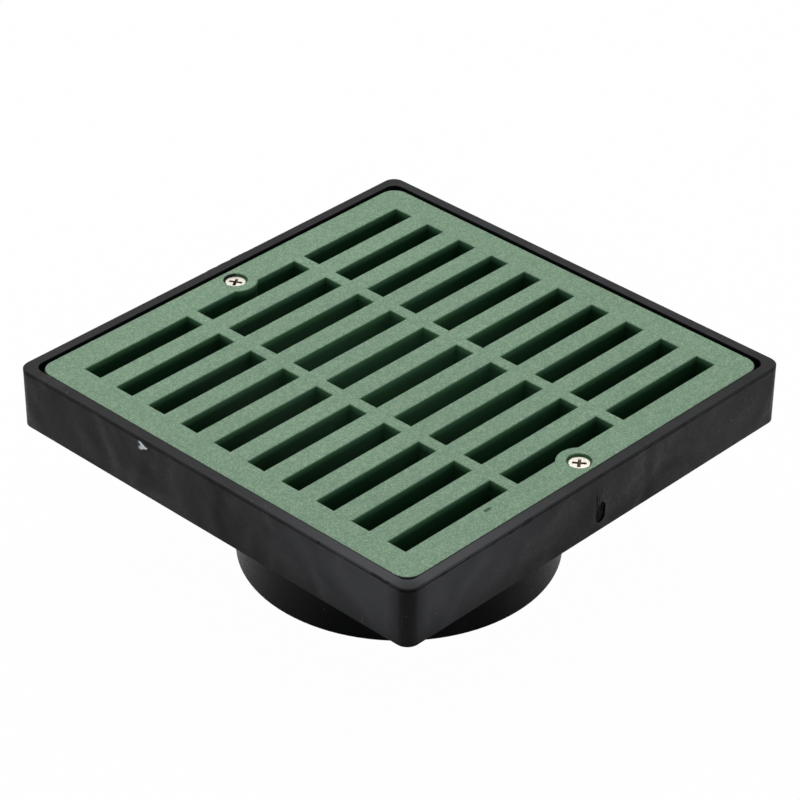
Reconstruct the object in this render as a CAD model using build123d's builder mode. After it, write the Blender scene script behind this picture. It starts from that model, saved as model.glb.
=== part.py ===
# Square gully grate: a slotted green plastic grate screwed down into a black plastic frame,
# whose floor runs into a round spigot that plugs into a drain pipe.
# +X runs along the slots, the two screws stand on the Y axis, +Z is up.
# The origin is the middle of the spigot's open end, on which the part stands. Millimetres.

import os
from math import radians, tan

from build123d import *

# Grate, one moulding: a slotted plate with a skirt, whose bars are cored out from below
grate_border = 14.55
grate_corner = 8.0
grate_depth = 12.7
plate_thickness = 4.4
plate_edge_round = 0.8
slot_rows = 10
slot_columns = 3
slot_width = 10.1
slot_length = 60.9
row_bar = 10.3
column_bar = 6.1
slot_draft = 2.0
slot_edge_break = 0.3
slot_wall = 2.8
grate_skirt = 3.6

# Screws and their seats: countersunk heads, sunk a little below the walking surface
screw_inset = 8.0
screw_length = 19.0
shank_diameter = 4.0
screw_tip_length = 3.5
tip_flat_diameter = 0.8
head_diameter = 9.7
head_rim = 0.35
head_angle = 82.0
head_sunk = 1.15
seat_diameter = 11.2
shank_clearance = 0.6
head_clearance = 0.1
seat_boss_diameter = 20.2
cross_width = 6.3
cross_slot = 1.5
cross_root_width = 2.4
cross_root_slot = 0.7
cross_depth = 2.3
front_screw_turn = 37.0
back_screw_turn = 30.0

# Frame, one moulding: rim, outer wall, ledge, tray floor and spigot
grate_gap = 1.0
rim_width = 5.0
rim_proud = 0.85
rim_edge_break = 0.4
frame_corner = 6.0
pocket_corner = 5.2
wall_height = 28.8
wall_draft = 0.5
outer_wall = 3.0
lip_height = 0.9
parting_groove_height = 0.45
parting_groove_depth = 0.3
gate_well_width = 6.0
gate_well_height = 10.0
gate_well_depth = 0.9
gate_well_off_centre = -1.3
gate_well_drop = 19.8
ledge_width = 10.0
ledge_thickness = 3.0
tray_wall = 3.0
tray_corner = 6.0
floor_thickness = 3.0
dish_drop = 1.6
dish_margin = 5.0
web_thickness = 2.4
webs_per_side = 6
web_pitch = 36.0
web_foot_gap = 1.2

# Screw posts in the frame
post_diameter = 11.0
pilot_depth = 8.6
pilot_clearance = 0.1

# Spigot for a pipe of 150 mm bore
spigot_diameter = 147.4
spigot_wall = 3.2
spigot_length = 66.4
spigot_lead_in = 0.5
spigot_root_flare = 1.5
mouth_flare = 2.0

# Heights and widths that follow from the sizes above
row_pitch = slot_width + row_bar
column_pitch = slot_length + column_bar
grate_side = slot_columns * column_pitch - column_bar + 2 * grate_border
screw_offset = grate_side / 2 - screw_inset
frame_bottom = spigot_length
rim_top = frame_bottom + wall_height
grate_top = rim_top - rim_proud
ledge_top = grate_top - grate_depth
head_top = grate_top - head_sunk
pocket_side = grate_side + 2 * grate_gap
frame_side = pocket_side + 2 * rim_width
tray_side = pocket_side - 2 * ledge_width
dish_diameter = tray_side - 2 * dish_margin
channel_inner_side = tray_side + 2 * tray_wall
channel_outer_side = frame_side - 2 * outer_wall
floor_edge = frame_bottom + floor_thickness + dish_drop
spigot_radius = spigot_diameter / 2
bore_radius = spigot_radius - spigot_wall
head_cone_height = (head_diameter - shank_diameter) / 2 / tan(radians(head_angle / 2))
screw_places = [(0, -screw_offset), (0, screw_offset)]


# Grate
with BuildPart() as grate:
    with BuildSketch(Plane.XY.offset(grate_top)):
        RectangleRounded(grate_side, grate_side, grate_corner)
    extrude(amount=-grate_depth)
    fillet(grate.edges().group_by(Axis.Z)[-1], plate_edge_round)

    # The slots open downwards, so that what falls in doesn't jam. The screw bosses bulge into two.
    with BuildSketch(Plane.XY.offset(grate_top)) as slots:
        with GridLocations(column_pitch, row_pitch, slot_columns, slot_rows):
            Rectangle(slot_length, slot_width)
        with Locations(*screw_places):
            Circle(seat_boss_diameter / 2, mode=Mode.SUBTRACT)
    extrude(amount=-grate_depth, taper=-slot_draft, mode=Mode.SUBTRACT)
    slot_span = Vector(column_pitch * slot_columns, row_pitch * slot_rows)
    slot_rims = [
        edge
        for edge in grate.edges().group_by(Axis.Z)[-1]
        if abs(edge.center().X) < slot_span.X / 2 and abs(edge.center().Y) < slot_span.Y / 2
    ]
    chamfer(slot_rims, slot_edge_break)

    # The bars and the border are cored out from below, which leaves a wall round each slot
    with BuildSketch(Plane.XY.offset(ledge_top)) as coring:
        cored_side = grate_side - 2 * grate_skirt
        RectangleRounded(cored_side, cored_side, grate_corner - grate_skirt)
        with GridLocations(column_pitch, row_pitch, slot_columns, slot_rows):
            Rectangle(column_pitch, slot_width + 2 * slot_wall, mode=Mode.SUBTRACT)
        with GridLocations(column_pitch, 1, slot_columns - 1, 1):
            Rectangle(column_bar, grate_side, mode=Mode.SUBTRACT)
        with Locations(*screw_places):
            Circle(seat_boss_diameter / 2, mode=Mode.SUBTRACT)
    extrude(amount=grate_depth - plate_thickness, mode=Mode.SUBTRACT)

    # Screw seats: a shallow recess, then the countersink and the clearance hole
    with Locations(*[(x, y, head_top - head_rim) for x, y in screw_places]):
        CounterSinkHole(
            (shank_diameter + shank_clearance) / 2,
            (head_diameter + head_clearance) / 2,
            depth=grate_depth,
            counter_sink_angle=head_angle,
        )
        Cylinder(
            seat_diameter / 2,
            head_sunk + head_rim,
            align=(Align.CENTER, Align.CENTER, Align.MIN),
            mode=Mode.SUBTRACT,
        )
grate.part.label = "grate"


# Frame with its tray and spigot
with BuildPart() as outlet_frame:
    with BuildSketch(Plane.XY.offset(rim_top - rim_edge_break)) as outline:
        RectangleRounded(frame_side, frame_side, frame_corner)
    extrude(amount=rim_edge_break, taper=45)
    extrude(outline.sketch, amount=rim_edge_break - wall_height, taper=wall_draft)

    # Pocket for the grate, down to the ledge, and the tray below it
    with BuildSketch(Plane.XY.offset(rim_top)):
        RectangleRounded(pocket_side, pocket_side, pocket_corner)
    extrude(amount=ledge_top - rim_top, mode=Mode.SUBTRACT)
    with BuildSketch(Plane.XY.offset(ledge_top)):
        RectangleRounded(tray_side, tray_side, tray_corner)
    extrude(amount=floor_edge - ledge_top, mode=Mode.SUBTRACT)

    # Dish in the tray floor, falling to the mouth of the spigot
    with BuildSketch(Plane.XZ) as dish:
        with BuildLine():
            Polyline(
                (0, floor_edge - dish_drop),
                (bore_radius, floor_edge - dish_drop),
                (dish_diameter / 2, floor_edge),
                (0, floor_edge),
                close=True,
            )
        make_face()
    revolve(axis=Axis.Z, mode=Mode.SUBTRACT)

    # Open channel between the outer wall and the tray wall, seen from below, with its webs
    with BuildSketch(Plane.XY.offset(frame_bottom)) as channel:
        RectangleRounded(channel_outer_side, channel_outer_side, frame_corner - outer_wall)
        RectangleRounded(
            channel_inner_side, channel_inner_side, tray_corner + tray_wall, mode=Mode.SUBTRACT
        )
    extrude(amount=ledge_top - ledge_thickness - frame_bottom, mode=Mode.SUBTRACT)
    web_reach = (channel_outer_side - channel_inner_side) / 2
    web_middle = (channel_outer_side + channel_inner_side) / 4
    with BuildSketch(Plane.XY.offset(frame_bottom + web_foot_gap)) as webs:
        for side in range(4):
            with PolarLocations(web_middle, 1, start_angle=90 * side):
                with GridLocations(1, web_pitch, 1, webs_per_side):
                    Rectangle(web_reach, web_thickness)
    extrude(amount=ledge_top - ledge_thickness - frame_bottom - web_foot_gap)

    # Posts that take the two screws
    with BuildSketch(Plane.XY.offset(ledge_top)) as posts:
        with Locations(*screw_places):
            Circle(post_diameter / 2)
    extrude(amount=frame_bottom - ledge_top)
    with BuildSketch(Plane.XY.offset(ledge_top)) as pilots:
        with Locations(*screw_places):
            Circle((shank_diameter + pilot_clearance) / 2)
    extrude(amount=-pilot_depth, mode=Mode.SUBTRACT)

    # Spigot, its bore and the flared mouth
    with BuildSketch(Plane.XY) as spigot_ring:
        Circle(spigot_radius)
    extrude(amount=spigot_length)
    with BuildSketch(Plane.XY) as bore:
        Circle(bore_radius)
    extrude(amount=floor_edge - dish_drop, mode=Mode.SUBTRACT)
    circles = outlet_frame.edges().filter_by(GeomType.CIRCLE)
    end_edge = circles.filter_by(lambda e: abs(e.radius - spigot_radius) < 0.01).group_by(Axis.Z)[0]
    chamfer(end_edge, spigot_lead_in)
    circles = outlet_frame.edges().filter_by(GeomType.CIRCLE)
    root_edge = circles.filter_by(lambda e: abs(e.radius - spigot_radius) < 0.01).group_by(Axis.Z)[-1]
    chamfer(root_edge, spigot_root_flare)
    circles = outlet_frame.edges().filter_by(GeomType.CIRCLE)
    mouth_edge = circles.filter_by(lambda e: abs(e.radius - bore_radius) < 0.01).group_by(Axis.Z)[-1]
    chamfer(mouth_edge, mouth_flare)

    # Parting groove round the outside, just under the lip of the rim
    with BuildSketch(Plane.XY.offset(rim_top - lip_height)) as parting:
        RectangleRounded(frame_side, frame_side, frame_corner)
        lip_inset = 2 * (lip_height * tan(radians(wall_draft)) + parting_groove_depth)
        RectangleRounded(
            frame_side - lip_inset, frame_side - lip_inset, frame_corner, mode=Mode.SUBTRACT
        )
    extrude(amount=-parting_groove_height, mode=Mode.SUBTRACT)

    # Shallow well in the front wall, in which the mould's gate stood
    well_middle = (gate_well_off_centre, gate_well_depth - frame_side / 2, rim_top - gate_well_drop)
    with BuildSketch(Plane(origin=well_middle, x_dir=(1, 0, 0), z_dir=(0, -1, 0))):
        SlotOverall(gate_well_height, gate_well_width, rotation=90)
    extrude(amount=gate_well_depth, mode=Mode.SUBTRACT)
outlet_frame.part.label = "outlet_frame"


def cross_outline(arm_length, arm_width):
    """Plan of the cross recess at one depth."""
    Rectangle(arm_length, arm_width)
    Rectangle(arm_width, arm_length)


def make_screw(name, place, turn):
    """Countersunk self-tapping screw with a cross recess; its fine thread is left off."""
    shank_radius = shank_diameter / 2
    head_radius = head_diameter / 2
    tip_z = head_top - screw_length
    with BuildPart() as screw:
        with BuildSketch(Plane(origin=(*place, 0), x_dir=(1, 0, 0), z_dir=(0, -1, 0))):
            with BuildLine():
                Polyline(
                    (0, head_top),
                    (head_radius - head_rim, head_top),
                    (head_radius, head_top - head_rim),
                    (shank_radius, head_top - head_rim - head_cone_height),
                    (shank_radius, tip_z + screw_tip_length),
                    (tip_flat_diameter / 2, tip_z),
                    (0, tip_z),
                    close=True,
                )
            make_face()
        revolve(axis=Axis((*place, 0), (0, 0, 1)))
        recess_plane = Plane((*place, head_top)).rotated((0, 0, turn))
        with BuildSketch(recess_plane):
            cross_outline(cross_width, cross_slot)
        with BuildSketch(recess_plane.offset(-cross_depth)):
            cross_outline(cross_root_width, cross_root_slot)
        loft(ruled=True, mode=Mode.SUBTRACT)
    screw.part.label = name
    return screw.part


screw_front = make_screw("screw_front", screw_places[0], front_screw_turn)
screw_back = make_screw("screw_back", screw_places[1], back_screw_turn)

os.makedirs("parts", exist_ok=True)
for piece in (grate.part, outlet_frame.part, screw_front, screw_back):
    export_step(piece, f"parts/{piece.label}.step")
    print(piece.label, round(piece.volume), "mm3")
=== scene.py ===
# %% [markdown]
# # A gully grate in its frame
# Rain runs off a path into a square green grate. The grate is screwed down into a black plastic
# frame, and the frame ends below in a round spigot that plugs into a buried pipe. The construction
# comes from a CAD model, which is loaded here as a fixed frame. This script gives every surface its
# finish, adds what only a used moulding has, and sets up a small studio round it.

import math

import bmesh
import bpy
from mathutils import Matrix, Vector, noise


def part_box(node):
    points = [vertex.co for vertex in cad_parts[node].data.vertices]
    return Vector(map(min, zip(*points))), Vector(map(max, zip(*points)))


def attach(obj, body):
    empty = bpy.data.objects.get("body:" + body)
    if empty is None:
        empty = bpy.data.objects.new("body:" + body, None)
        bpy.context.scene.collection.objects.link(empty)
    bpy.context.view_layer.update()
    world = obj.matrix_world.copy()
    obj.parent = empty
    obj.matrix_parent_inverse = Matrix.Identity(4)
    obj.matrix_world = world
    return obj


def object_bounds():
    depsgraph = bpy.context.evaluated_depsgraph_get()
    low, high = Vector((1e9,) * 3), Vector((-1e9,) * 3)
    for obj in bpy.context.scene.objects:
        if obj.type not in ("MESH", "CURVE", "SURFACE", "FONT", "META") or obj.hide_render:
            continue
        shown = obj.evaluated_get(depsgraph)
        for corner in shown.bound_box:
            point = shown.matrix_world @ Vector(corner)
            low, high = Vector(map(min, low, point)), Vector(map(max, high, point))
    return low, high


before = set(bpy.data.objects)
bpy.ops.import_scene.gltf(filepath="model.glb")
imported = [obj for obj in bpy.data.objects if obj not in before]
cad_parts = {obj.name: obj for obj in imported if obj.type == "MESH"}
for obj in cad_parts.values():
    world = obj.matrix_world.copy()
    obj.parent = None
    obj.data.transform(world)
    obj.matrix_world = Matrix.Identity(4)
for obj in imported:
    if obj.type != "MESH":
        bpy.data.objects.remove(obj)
cad_low, cad_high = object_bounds()
MM = 0.001
print("CAD box in mm:", [round(c / MM, 2) for c in (*cad_low, *cad_high)])

# %% [markdown]
# ## Where things are
# The main heights and the screws' places are read from the loaded model. The model doesn't say
# where its groove and its gate well are, so those are written here as they were designed, measured
# down from the rim. The dent on the left wall, shown with a painted glint and painted shade, and
# the dent beside the front slots, darkened with painted shade, are marks of use, and exist only in
# this script.

# %% Read the main places
frame_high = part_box("outlet_frame")[1]
grate_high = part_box("grate")[1]
front_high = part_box("screw_front")[1]
back_low, back_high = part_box("screw_back")
rim_top = frame_high.z
frame_half = frame_high.x
grate_top = grate_high.z
head_top = front_high.z
screw_y = (back_low.y + back_high.y) / 2

# Parting groove round the outer wall, and the edge break of the rim above it
groove_top, groove_low, groove_depth = rim_top - 0.9 * MM, rim_top - 1.35 * MM, 0.3 * MM
groove_middle = rim_top - 1.1 * MM
rim_edge_break = 0.4 * MM

# Gate well in the front wall, which faces -Y
gate_x, gate_z = -1.3 * MM, rim_top - 19.8 * MM
gate_width, gate_height, gate_depth = 6.0 * MM, 10.0 * MM, 0.9 * MM

# Painted glint and shade of a small dent under the groove of the left wall, and dent beside the
# front slots
glint_place = (-frame_half, 39.5 * MM, rim_top - 3.6 * MM)
dent_place = (-53 * MM, -100.6 * MM, grate_top)
print("rim, grate and screw heads at", [round(z / MM, 2) for z in (rim_top, grate_top, head_top)])

# %% [markdown]
# ## Helpers for materials
# Colours are written as the sRGB hex values that the eye sees on a screen. Blender calculates with
# linear light, so one function turns one into the other. A second one adds a shader node and fills
# its inputs, with plain values or with what other nodes give. The short ones after it wrap the
# kinds of node that come up often, so that a material reads from top to bottom like a recipe.


# %% Colour and node helpers
def colour(hex_code):
    channels = [int(hex_code[i:i + 2], 16) / 255 for i in (1, 3, 5)]
    return (*[c / 12.92 if c <= 0.04045 else ((c + 0.055) / 1.055) ** 2.4 for c in channels], 1.0)


def add_node(tree, kind, **settings):
    """Adds a node. A setting is an input, by name or as in_NUMBER, or else a property."""
    node = tree.nodes.new(kind)
    for name, value in settings.items():
        key = int(name[3:]) if name.startswith("in_") else name.replace("_", " ")
        if isinstance(key, str) and key not in node.inputs:
            setattr(node, name, value)
        elif isinstance(value, bpy.types.NodeSocket):
            tree.links.new(value, node.inputs[key])
        else:
            node.inputs[key].default_value = value
    return node


def numbered(values):
    """The values as settings of the inputs 0, 1, 2 and so on."""
    return {f"in_{i}": value for i, value in enumerate(values)}


def calculate(tree, operation, *values):
    return add_node(tree, "ShaderNodeMath", operation=operation, **numbered(values)).outputs[0]


def vector_of(tree, operation, *values):
    """Vector that a vector operation gives."""
    node = add_node(tree, "ShaderNodeVectorMath", operation=operation, **numbered(values))
    return node.outputs["Vector"]


def number_of(tree, operation, *values):
    """Number that a vector operation such as LENGTH gives."""
    node = add_node(tree, "ShaderNodeVectorMath", operation=operation, **numbered(values))
    return node.outputs["Value"]


def ramp(tree, value, low, high, start, end, kind="LINEAR"):
    """Runs from start, where the value is low, to end, where it is high, and is flat past both."""
    return add_node(tree, "ShaderNodeMapRange", interpolation_type=kind, Value=value, From_Min=low,
                    From_Max=high, To_Min=start, To_Max=end).outputs[0]


def mix_in(tree, share, under, over):
    """Colour that goes from under to over as the share goes from 0 to 1."""
    return add_node(tree, "ShaderNodeMix", data_type="RGBA", in_0=share, in_6=under,
                    in_7=over).outputs[2]


def noise_of(tree, place, size_mm, **settings):
    """Noise of 0 to 1, in which one feature is about size_mm wide."""
    return add_node(tree, "ShaderNodeTexNoise", Vector=place, Scale=1 / (size_mm * MM),
                    **settings).outputs["Fac"]


def stretched(tree, place, scale, turn=(0, 0, 0)):
    return add_node(tree, "ShaderNodeMapping", Vector=place, Rotation=turn, Scale=scale).outputs[0]


def bump(tree, height, strength, distance, **settings):
    return add_node(tree, "ShaderNodeBump", Height=height, Strength=strength, Distance=distance,
                    **settings).outputs[0]


def split(tree, vector):
    """Outputs X, Y and Z of a vector."""
    return add_node(tree, "ShaderNodeSeparateXYZ", in_0=vector).outputs


def new_material(name):
    """Empty material, with its node tree and its object coordinates."""
    material = bpy.data.materials.new(name)
    material.use_nodes = True
    tree = material.node_tree
    tree.nodes.clear()
    return material, tree, add_node(tree, "ShaderNodeTexCoord").outputs["Object"]


def finish(tree, **settings):
    """Principled surface with the given inputs."""
    skin = add_node(tree, "ShaderNodeBsdfPrincipled", **settings).outputs[0]
    add_node(tree, "ShaderNodeOutputMaterial", Surface=skin)


def dress(node_name, material):
    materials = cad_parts[node_name].data.materials
    materials.clear()
    materials.append(material)
    print(node_name, "wears", material.name)


print("mid grey is", [round(c, 3) for c in colour("#808080")])

# %% [markdown]
# ## Green polyolefin, injection moulded
# The grate is high-density polyethylene, coloured through and moulded as a structural foam. Its
# skin is dull, with a fine mottle where the foaming melt chilled on the tool. That gives the eye a
# soft sage green without any gloss, and small flecks a millimetre or two wide. Two noises make the
# mottle, a broad one lets the tone drift over the plate, and a bump makes the grain catch light.
#
# Over that, light and shade are painted in layers. The walls of the slots get a painted green tint
# of bounced light, a small dent and the screw seats get painted shade, painted shade deepens down
# the slots and is lighter over the outlet, and painted shade darkens the gap all round. Each of
# these is a mask over the one before.


# %% Finish of the grate
def green_foam_moulding():
    material, tree, place = new_material("green_hdpe_structural_foam")
    parts = split(tree, place)

    # Flecks of about 2 mm and a grain of about 0.8 mm, which is as fine as the picture shows
    flecks = noise_of(tree, place, 2.4, Detail=4.0, Roughness=0.7)
    grain = noise_of(tree, place, 0.75, Detail=1.0, Roughness=0.6)
    grain_share = calculate(tree, "MULTIPLY", grain, 0.6)
    mottle = calculate(tree, "MULTIPLY_ADD", flecks, 0.33, grain_share)
    spread = ramp(tree, mottle, 0.4, 0.6, 0.0, 1.0)
    green = mix_in(tree, spread, colour("#67896F"), colour("#96B295"))
    drift = noise_of(tree, place, 70, Detail=2.0)
    drift_share = ramp(tree, drift, 0.35, 0.65, 0.96, 1.04)
    drifted_green = add_node(tree, "ShaderNodeVectorMath", operation="SCALE", in_0=green,
                     Scale=drift_share).outputs[0]

    # Painted bounce light: the walls of the slots, below the top face, get a deeper green, as if
    # lit by light bounced between the green walls
    painted_bounce_tint = ramp(tree, parts["Z"], grate_top - 0.5 * MM, grate_top - 0.1 * MM, 1.0, 0.0)
    bounce_tinted = mix_in(tree, painted_bounce_tint, drifted_green, colour("#629870"))

    # A small dent that a tool left between the front slots and the edge: the bump presses it in,
    # and its dark colour is painted shade
    off_dent = vector_of(tree, "SUBTRACT", place, dent_place)
    dent_oval = stretched(tree, off_dent, (1 / 2.2, 1 / 0.9, 1 / 3), (0, 0, math.radians(20)))
    dent_reach = number_of(tree, "LENGTH", dent_oval)
    dent_and_shade = ramp(tree, dent_reach, 0.85 * MM, 1.1 * MM, 1.0, 0.0, "SMOOTHSTEP")
    dent_shaded = mix_in(tree, dent_and_shade, bounce_tinted, colour("#1C4529"))

    # Painted shade in the two screw seats, below the grate's face, which lie mirrored, so that the
    # sign of Y is dropped
    seat_reach = 6.2 * MM
    aside = calculate(tree, "ABSOLUTE", parts["X"])
    along = calculate(tree, "ABSOLUTE", parts["Y"])
    off_screw = calculate(tree, "SUBTRACT", along, screw_y)
    flat_offset = add_node(tree, "ShaderNodeCombineXYZ", X=aside, Y=off_screw).outputs[0]
    screw_reach = number_of(tree, "LENGTH", flat_offset)
    in_seat = calculate(tree, "LESS_THAN", screw_reach, seat_reach)
    below_face = ramp(tree, parts["Z"], grate_top - 0.7 * MM, grate_top - 0.1 * MM, 0.6, 0.0)
    painted_seat_shade = calculate(tree, "MULTIPLY", below_face, in_seat)
    grime_and_shade = mix_in(tree, painted_seat_shade, dent_shaded, colour("#46583F"))

    # Painted shade on the walls of the slots, darker with depth under a ragged line, and lighter in
    # the middle over the outlet, where painted light from below lifts it
    shade_line = calculate(tree, "MULTIPLY_ADD", flecks, 1.2 * MM, parts["Z"])
    deep = ramp(tree, shade_line, grate_top - 3.2 * MM, grate_top + 0.1 * MM, 1.0, 0.0)
    flat_place = add_node(tree, "ShaderNodeCombineXYZ", X=parts["X"], Y=parts["Y"]).outputs[0]
    off_outlet = number_of(tree, "LENGTH", flat_place)
    lighter_over_outlet = ramp(tree, off_outlet, 35 * MM, 85 * MM, 0.66, 1.0)
    painted_slot_shade = calculate(tree, "MULTIPLY", deep, lighter_over_outlet)
    slot_shaded = mix_in(tree, painted_slot_shade, grime_and_shade, colour("#0F3A1E"))

    # Painted shade of the gap all round, which blackens the rounded outer edge of the grate
    edge_strip = 4 * MM
    farthest = calculate(tree, "MAXIMUM", aside, along)
    at_border = calculate(tree, "GREATER_THAN", farthest, grate_high.x - edge_strip)
    over_edge = ramp(tree, parts["Z"], grate_top - 0.12 * MM, grate_top - 0.03 * MM, 0.96, 0.0)
    painted_gap_shade = calculate(tree, "MULTIPLY", at_border, over_edge)
    base = mix_in(tree, painted_gap_shade, slot_shaded, colour("#060B07"))

    height = calculate(tree, "SUBTRACT", mottle, dent_and_shade)
    finish(tree, Base_Color=base, Roughness=0.62, IOR=1.51, Specular_IOR_Level=0.4,
           Normal=bump(tree, height, 0.35, 0.12 * MM))
    return material


dress("grate", green_foam_moulding())

# %% [markdown]
# ## Black polyolefin, injection moulded and scuffed
# The frame is the same plastic in black, moulded with a smoother skin, so it has a satin gloss.
# Its walls are never quite flat: the thick ledge behind them shrinks as it cools and draws soft
# sinks in the skin, which show as slow waves in the reflection.
#
# Handling has left its marks, and light is painted on as well. A painted highlight makes the skin a
# lighter grey beside the front corner, and the crests of the slow waves get a painted sheen. Pale
# specks and hair-fine scratches lie all over, and painted shade blackens the parting groove.
# Streaks run up from the gate well, where the runner was torn off. The left wall has a painted
# white glint with painted shade round it, where a small dent is.


# %% Finish of the frame
def black_moulding():
    material, tree, place = new_material("black_hdpe_moulding")
    parts = split(tree, place)

    # Slow waves of the skin, some 30 mm long, with a painted sheen that makes their crests a little
    # paler
    sinks = noise_of(tree, place, 30, Detail=1.0, Distortion=0.6)
    painted_sheen = ramp(tree, sinks, 0.35, 0.65, 0.0, 1.0)
    black = mix_in(tree, painted_sheen, colour("#050607"), colour("#141518"))

    # Painted highlight on both walls beside the front corner, widest 8 mm below the rim, not on the
    # corner
    off_highlight = vector_of(tree, "SUBTRACT", place, (-frame_half, -frame_half, rim_top - 8 * MM))
    highlight_reach = number_of(tree, "LENGTH", stretched(tree, off_highlight, (1, 1, 4)))
    near = ramp(tree, highlight_reach, 20 * MM, 120 * MM, 1.0, 0.0, "SMOOTHSTEP")
    flat_offset = vector_of(tree, "MULTIPLY", off_highlight, (1, 1, 0))
    off_corner = number_of(tree, "LENGTH", flat_offset)
    beside = ramp(tree, off_corner, 4 * MM, 12 * MM, 0.0, 0.75)
    painted_highlight = calculate(tree, "MULTIPLY", near, beside)
    highlighted = mix_in(tree, painted_highlight, black, colour("#4A4B4F"))

    # Specks of dust and whitened pin pricks: the middles of some cells of a 5 mm Voronoi pattern
    cells = add_node(tree, "ShaderNodeTexVoronoi", Vector=place, Scale=1 / (5 * MM),
                     Randomness=1.0).outputs
    dots = ramp(tree, cells["Distance"], 0.025, 0.06, 1.0, 0.0)
    cell_number = add_node(tree, "ShaderNodeSeparateColor", in_0=cells["Color"]).outputs[0]
    chosen = calculate(tree, "GREATER_THAN", cell_number, 0.55)
    specks = calculate(tree, "MULTIPLY", dots, chosen)

    # Hair scratches: thin contour lines of a noise, kept only where a second noise is high
    swirls = noise_of(tree, place, 11, Detail=1.0, Distortion=0.8)
    off_line = calculate(tree, "ABSOLUTE", calculate(tree, "SUBTRACT", swirls, 0.52))
    contours = ramp(tree, off_line, 0.001, 0.004, 0.16, 0.0)
    patches = noise_of(tree, place, 8, Detail=1.0)
    shown = ramp(tree, patches, 0.6, 0.68, 0.0, 1.0)
    hairs = calculate(tree, "MULTIPLY", contours, shown)
    marks = calculate(tree, "MAXIMUM", specks, hairs)
    worn = mix_in(tree, marks, highlighted, colour("#83898D"))

    # Painted shade blackens the parting groove under the rim and spreads past it in patches
    off_groove = calculate(tree, "ABSOLUTE", calculate(tree, "SUBTRACT", parts["Z"], groove_middle))
    shade_spread = ramp(tree, patches, 0.58, 0.66, 0.0, 0.8 * MM)
    off_shade = calculate(tree, "SUBTRACT", off_groove, shade_spread)
    groove_shade = ramp(tree, off_shade, 0.2 * MM, 0.3 * MM, 0.85, 0.0)
    groove_shaded = mix_in(tree, groove_shade, worn, colour("#010101"))

    # Streaks that the torn runner drew above its well on the front wall
    scar_middle = (gate_x, -frame_half, gate_z + 4.5 * MM)
    off_scar = vector_of(tree, "SUBTRACT", place, scar_middle)
    scar_oval = stretched(tree, off_scar, (1 / 3.2, 1 / 5, 1 / 7.0))
    scar_area = ramp(tree, number_of(tree, "LENGTH", scar_oval), 0.6 * MM, 1.2 * MM, 1.0, 0.0)
    combed = stretched(tree, place, (1.0, 1.0, 0.08))
    streaks = ramp(tree, noise_of(tree, combed, 1.0, Detail=1.0), 0.5, 0.54, 0.0, 1.0)
    scar = calculate(tree, "MULTIPLY", streaks, scar_area)
    scarred = mix_in(tree, scar, groove_shaded, colour("#020202"))

    # A small dent, shown by painted light: half a diamond that points to the front and is cut off
    # by the groove, with a ragged white band of painted glint and a dark band of painted shade
    # outside it
    shreds = noise_of(tree, place, 1.6, Detail=4.0, Roughness=0.7)
    off_glint = vector_of(tree, "SUBTRACT", place, glint_place)
    sides = vector_of(tree, "ABSOLUTE", off_glint)
    diamond = number_of(tree, "DOT_PRODUCT", sides, (1.0, 0.55, 1.1))
    ragged_reach = calculate(tree, "MULTIPLY_ADD", shreds, 3.0 * MM, diamond)
    glint_parts = split(tree, off_glint)
    front_half = ramp(tree, glint_parts["Y"], -0.6 * MM, 0.9 * MM, 1.0, 0.0)
    under_groove = ramp(tree, glint_parts["Z"], 1.6 * MM, 2.1 * MM, 1.0, 0.0)
    kept = calculate(tree, "MULTIPLY", front_half, under_groove)

    def band(middle, half_width):
        off_band = calculate(tree, "ABSOLUTE", calculate(tree, "SUBTRACT", ragged_reach, middle))
        ring = ramp(tree, off_band, 0.6 * half_width, half_width, 1.0, 0.0)
        return calculate(tree, "MULTIPLY", ring, kept)

    glint_ring_shaded = mix_in(tree, band(5.0 * MM, 0.7 * MM), scarred, colour("#020202"))
    base = mix_in(tree, band(3.3 * MM, 1.2 * MM), glint_ring_shaded, colour("#F2FBFF"))

    # The waves fade out below the frame, as the round wall of the spigot shrinks evenly. An orange
    # peel of about 1.5 mm lies over everything.
    on_frame = ramp(tree, parts["Z"], rim_top - 36 * MM, rim_top - 29 * MM, 0.12, 1.0)
    waves = bump(tree, calculate(tree, "MULTIPLY", sinks, on_frame), 0.7, 4 * MM)
    peel = noise_of(tree, place, 1.5, Detail=3.0)
    skin_peel = bump(tree, peel, 0.15, 0.06 * MM, Normal=waves)
    finish(tree, Base_Color=base, Roughness=ramp(tree, peel, 0.35, 0.65, 0.38, 0.5), IOR=1.5,
           Specular_IOR_Level=0.14, Normal=bump(tree, scar, 1.0, 0.9 * MM, Normal=skin_peel))
    return material


black_plastic = black_moulding()
dress("outlet_frame", black_plastic)

# %% [markdown]
# ## Stainless steel, cold headed
# The screws are cold headed from stainless wire. The head is bright and nearly plain, and its cross
# recess, worn by the driver, holds brown grime. Depth below the head's face decides how much grime
# a point gets, and a fine noise varies the tone, the roughness and the surface a little.


# %% Finish of the screws
def stainless_screw():
    material, tree, place = new_material("stainless_cold_headed")
    patches = noise_of(tree, place, 1.2, Detail=3.0)
    steel = mix_in(tree, patches, colour("#DFDAD0"), colour("#C9C3B8"))
    height = split(tree, place)["Z"]
    recessed = ramp(tree, height, head_top - 0.5 * MM, head_top - 0.02 * MM, 1.0, 0.0)
    grime_and_shade = mix_in(tree, recessed, steel, colour("#5E5045"))
    rubbed = ramp(tree, patches, 0.3, 0.7, 0.28, 0.42)
    finish(tree, Metallic=1.0, Base_Color=grime_and_shade, Roughness=rubbed,
           Normal=bump(tree, patches, 0.15, 0.05 * MM))
    return material


screw_steel = stainless_screw()
for screw_name in ("screw_front", "screw_back"):
    dress(screw_name, screw_steel)

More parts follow.
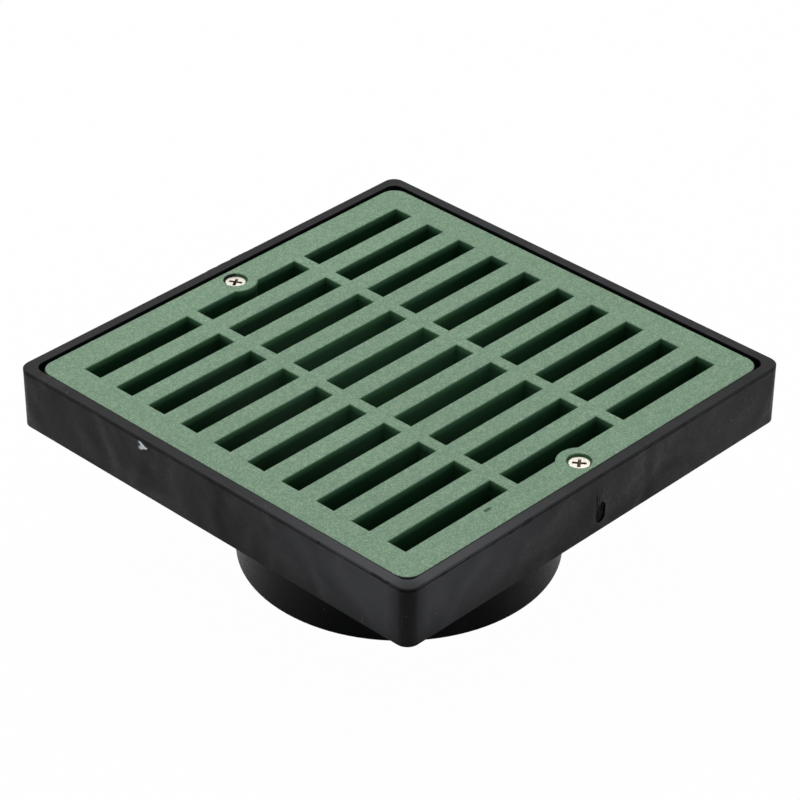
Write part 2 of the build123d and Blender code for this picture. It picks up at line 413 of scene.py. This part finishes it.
# %% [markdown]
# ## What the mould and the trimming knife left
# A moulding shows where its mould opened and where the melt came in. A thin burr stands in the
# parting groove under the rim and breaks its line. In the gate well the runner was torn off and
# left a ragged stub. Slivers of flash cling to the outer edge of the far rim. All of this is less
# than a millimetre high, so it is built here on the finished frame, and rides with it.


# %% Burrs, stub and slivers
def ragged(along, seed, size_mm):
    """Value of about 0 to 1 that changes over some size_mm along a line, in jagged steps."""
    place = Vector((along / (size_mm * MM), seed * 7.3, seed * 1.7))
    return 0.5 + 0.9 * noise.noise(place) + 0.3 * noise.noise(place * 4.1)


def clamp(value, low, high):
    return min(max(value, low), high)


def add_piece(name, mesh_maker, material):
    shape = bmesh.new()
    mesh_maker(shape)
    bmesh.ops.recalc_face_normals(shape, faces=shape.faces)
    mesh = bpy.data.meshes.new(name)
    shape.to_mesh(mesh)
    shape.free()
    piece = bpy.data.objects.new(name, mesh)
    bpy.context.scene.collection.objects.link(piece)
    piece.data.materials.append(material)
    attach(piece, "root")
    return piece


def skin_strip(shape, rows):
    """Closed strip through rows of four corners each, with an end face at both ends."""
    rings = [[shape.verts.new(corner) for corner in row] for row in rows]
    for ring, next_ring in zip(rings, rings[1:]):
        for i in range(4):
            j = (i + 1) % 4
            shape.faces.new((ring[i], ring[j], next_ring[j], next_ring[i]))
    shape.faces.new(rings[0])
    shape.faces.new(rings[-1])


def groove_burr(shape):
    """Burr in the groove on all four sides, standing on its lower face."""
    corner_gap, steps = 7 * MM, 260
    reach = frame_half - corner_gap
    wall_half = frame_half - 0.02 * MM
    inner = wall_half - groove_depth
    for side in range(4):
        turn = Matrix.Rotation(math.radians(90 * side), 3, "Z")
        rows = []
        for step in range(steps + 1):
            along = -reach + 2 * reach * step / steps
            up = clamp(1.3 * ragged(along, side, 6) - 0.4, 0.05, 0.95)
            top = groove_low + (groove_top - groove_low) * up
            out = wall_half - groove_depth * (0.1 + 0.5 * clamp(ragged(along, side + 9, 3), 0, 1))
            rows.append([turn @ Vector(corner) for corner in (
                (inner, along, groove_low),
                (out, along, groove_low),
                (out, along, top),
                (inner, along, top),
            )])
        skin_strip(shape, rows)


def rim_slivers(shape):
    """Three slivers on the outer edge of the far rim, in the corner that its edge break leaves."""
    steps = 24
    foot = rim_top - rim_edge_break
    outer, inner = frame_half - 0.01 * MM, frame_half - rim_edge_break - 0.05 * MM
    for start, end in ((-4.5, 1.2), (2.4, 8.8), (10.2, 21.0)):
        rows = []
        for step in range(steps + 1):
            along = (start + (end - start) * step / steps) * MM
            swell = 0.25 + 0.73 * (1 - step / steps) ** 0.5
            rise = clamp(swell * (0.75 + 0.4 * ragged(along, 3, 1.5)), 0.1, 0.98)
            top = foot + rim_edge_break * rise
            rows.append([(along, inner, foot), (along, outer, foot),
                         (along, outer - 0.1 * MM, top), (along, inner, top)])
        skin_strip(shape, rows)


def torn_stub(shape):
    """Ragged face over the gate well: high at its left and upper side, torn out at the right."""
    columns, lines = 44, 74
    side_gap, sunk = 0.04 * MM, 0.22 * MM
    half_width, half_height = gate_width / 2 - side_gap, gate_height / 2 - side_gap
    straight = half_height - half_width
    floor_y = -frame_half + gate_depth
    grid = {}
    for i in range(columns + 1):
        for j in range(lines + 1):
            u = -half_width + 2 * half_width * i / columns
            v = -half_height + 2 * half_height * j / lines
            past_end = max(abs(v) - straight, 0)
            if math.hypot(u, past_end) > half_width:
                continue
            fibres = noise.noise(Vector((u / (0.9 * MM), v / (3.2 * MM), 2.0)))
            crumbs = noise.noise(Vector((u / (0.5 * MM), v / (0.7 * MM), 5.0)))
            lean = -0.55 * u / half_width + 0.5 * v / half_height
            fill = clamp(0.30 + lean + 0.75 * fibres + 0.35 * crumbs, 0.03, 0.97)
            rise = (gate_depth - sunk) * fill
            grid[i, j] = shape.verts.new((gate_x + u, floor_y - rise, gate_z + v))
    for i, j in list(grid):
        corners = [grid.get(key) for key in ((i, j), (i + 1, j), (i + 1, j + 1), (i, j + 1))]
        if all(corners):
            shape.faces.new(corners)


def torn_plastic():
    """Torn black plastic: a deeper and duller black than the skin, in crumbs."""
    material, tree, place = new_material("black_hdpe_torn")
    crumbs = noise_of(tree, place, 0.7, Detail=3.0, Roughness=0.7)
    spread = ramp(tree, crumbs, 0.35, 0.7, 0.0, 1.0)
    finish(tree, Base_Color=mix_in(tree, spread, colour("#020202"), colour("#0E0F10")),
           Roughness=0.4, IOR=1.5, Specular_IOR_Level=0.05,
           Normal=bump(tree, crumbs, 0.8, 0.3 * MM))
    return material


torn_black = torn_plastic()
trim_pieces = [
    add_piece("parting_flash", groove_burr, black_plastic),
    add_piece("rim_flash", rim_slivers, torn_black),
    add_piece("gate_vestige", torn_stub, torn_black),
]
print("added:", {piece.name: len(piece.data.polygons) for piece in trim_pieces})

# %% [markdown]
# ## Floor and light
# A pale floor carries the part. It is seen as white in the picture, and keeps a trace of the
# shadow. What the black walls mirror decides how they look. So the floor is bright in reflections
# at the sides and behind, and dark toward the viewer. The light is that of a white studio tent: the
# world lights from everywhere, one large lamp hangs overhead, and two weak ones graze the walls.


# %% Floor
def pale_floor():
    mesh = bpy.data.meshes.new("floor")
    plane = bmesh.new()
    bmesh.ops.create_grid(plane, x_segments=1, y_segments=1, size=6.0)
    plane.to_mesh(mesh)
    plane.free()
    floor = bpy.data.objects.new("floor", mesh)
    bpy.context.scene.collection.objects.link(floor)
    material, tree, place = new_material("pale_floor")
    rays = add_node(tree, "ShaderNodeLightPath").outputs
    matt = add_node(tree, "ShaderNodeBsdfDiffuse", Color=colour("#F4F4F4")).outputs[0]
    white = add_node(tree, "ShaderNodeEmission", Color=(1, 1, 1, 1), Strength=1.0).outputs[0]

    # Inside the spigot's mouth the floor stays plain, so that the slots over it stay dark
    outside = ramp(tree, number_of(tree, "LENGTH", place), 72 * MM, 73 * MM, 0.0, 0.985)
    heading = vector_of(tree, "NORMALIZE", place)
    frontward = number_of(tree, "DOT_PRODUCT", heading, (-0.707, -0.707, 0))
    lit = ramp(tree, frontward, 0.1, 0.9, 0.85, 0.05)
    mirrored = calculate(tree, "MULTIPLY", rays["Is Glossy Ray"], lit)
    direct = calculate(tree, "MAXIMUM", rays["Is Camera Ray"], mirrored)
    share = calculate(tree, "MULTIPLY", direct, outside)
    seen = add_node(tree, "ShaderNodeMixShader", in_0=share, in_1=matt, in_2=white).outputs[0]
    add_node(tree, "ShaderNodeOutputMaterial", Surface=seen)
    floor.data.materials.append(material)
    return floor


floor = pale_floor()
print("floor at z =", 0.0)


# %% World and lamps
def studio_world():
    """White to the eye and in reflections, and a weak light for everything else."""
    world = bpy.data.worlds.new("white_tent")
    bpy.context.scene.world = world
    world.use_nodes = True
    tree = world.node_tree
    tree.nodes.clear()
    rays = add_node(tree, "ShaderNodeLightPath").outputs
    mirror = calculate(tree, "MAXIMUM", rays["Is Camera Ray"], rays["Is Glossy Ray"])
    through = calculate(tree, "MAXIMUM", mirror, rays["Is Transmission Ray"])
    strength = ramp(tree, through, 0.0, 1.0, 0.2, 1.0)
    glow = add_node(tree, "ShaderNodeBackground", Color=(1, 1, 1, 1), Strength=strength).outputs[0]
    add_node(tree, "ShaderNodeOutputWorld", Surface=glow)


def soft_lamp(name, place, aim, size, watts):
    lamp = bpy.data.lights.new(name, "AREA")
    lamp.shape = "DISK"
    lamp.size = size
    lamp.energy = watts
    holder = bpy.data.objects.new(name, lamp)
    bpy.context.scene.collection.objects.link(holder)
    holder.location = place
    holder.rotation_euler = (Vector(aim) - Vector(place)).to_track_quat("-Z", "Y").to_euler()
    return holder


studio_world()
middle = (cad_low + cad_high) / 2
lamps = [
    soft_lamp("overhead", (0.35, 0.55, 1.7), middle, 1.3, 20),
    soft_lamp("left", (-1.5, 0.9, 0.25), middle, 0.7, 2),
    soft_lamp("right", (0.9, -1.5, 0.25), middle, 0.7, 2),
]
print("lamps:", [lamp.name for lamp in lamps])

# %% [markdown]
# ## Camera
# The photograph was taken with a long lens from about 33 degrees above the grate. The angles, the
# distance and the lens were worked out from the thirty slots, whose pitch is known.

# %% Camera
view_azimuth = math.radians(-46.281)
view_elevation = math.radians(33.336)
view_roll = math.radians(0.399)
view_distance = 1438.5 * MM
view_aim = Vector((-19.26 * MM, -18.34 * MM, grate_top))
focal_length = 150.64

back = Vector((
    math.sin(view_azimuth) * math.cos(view_elevation),
    -math.cos(view_azimuth) * math.cos(view_elevation),
    math.sin(view_elevation),
))
right = (-back).cross(Vector((0, 0, 1))).normalized()
up = right.cross(-back)
camera_right = right * math.cos(view_roll) + up * math.sin(view_roll)
camera_up = up * math.cos(view_roll) - right * math.sin(view_roll)
camera_place = Matrix((camera_right, camera_up, back)).transposed().to_4x4()
camera_place.translation = view_aim + back * view_distance

lens = bpy.data.cameras.new("camera")
lens.lens = focal_length
lens.sensor_width = 36
lens.clip_start = 0.05
lens.clip_end = 30
camera = bpy.data.objects.new("camera", lens)
bpy.context.scene.collection.objects.link(camera)
camera.matrix_world = camera_place
bpy.context.scene.camera = camera
bpy.context.scene.view_settings.view_transform = "Standard"
print("camera at", [round(c, 3) for c in camera.location])
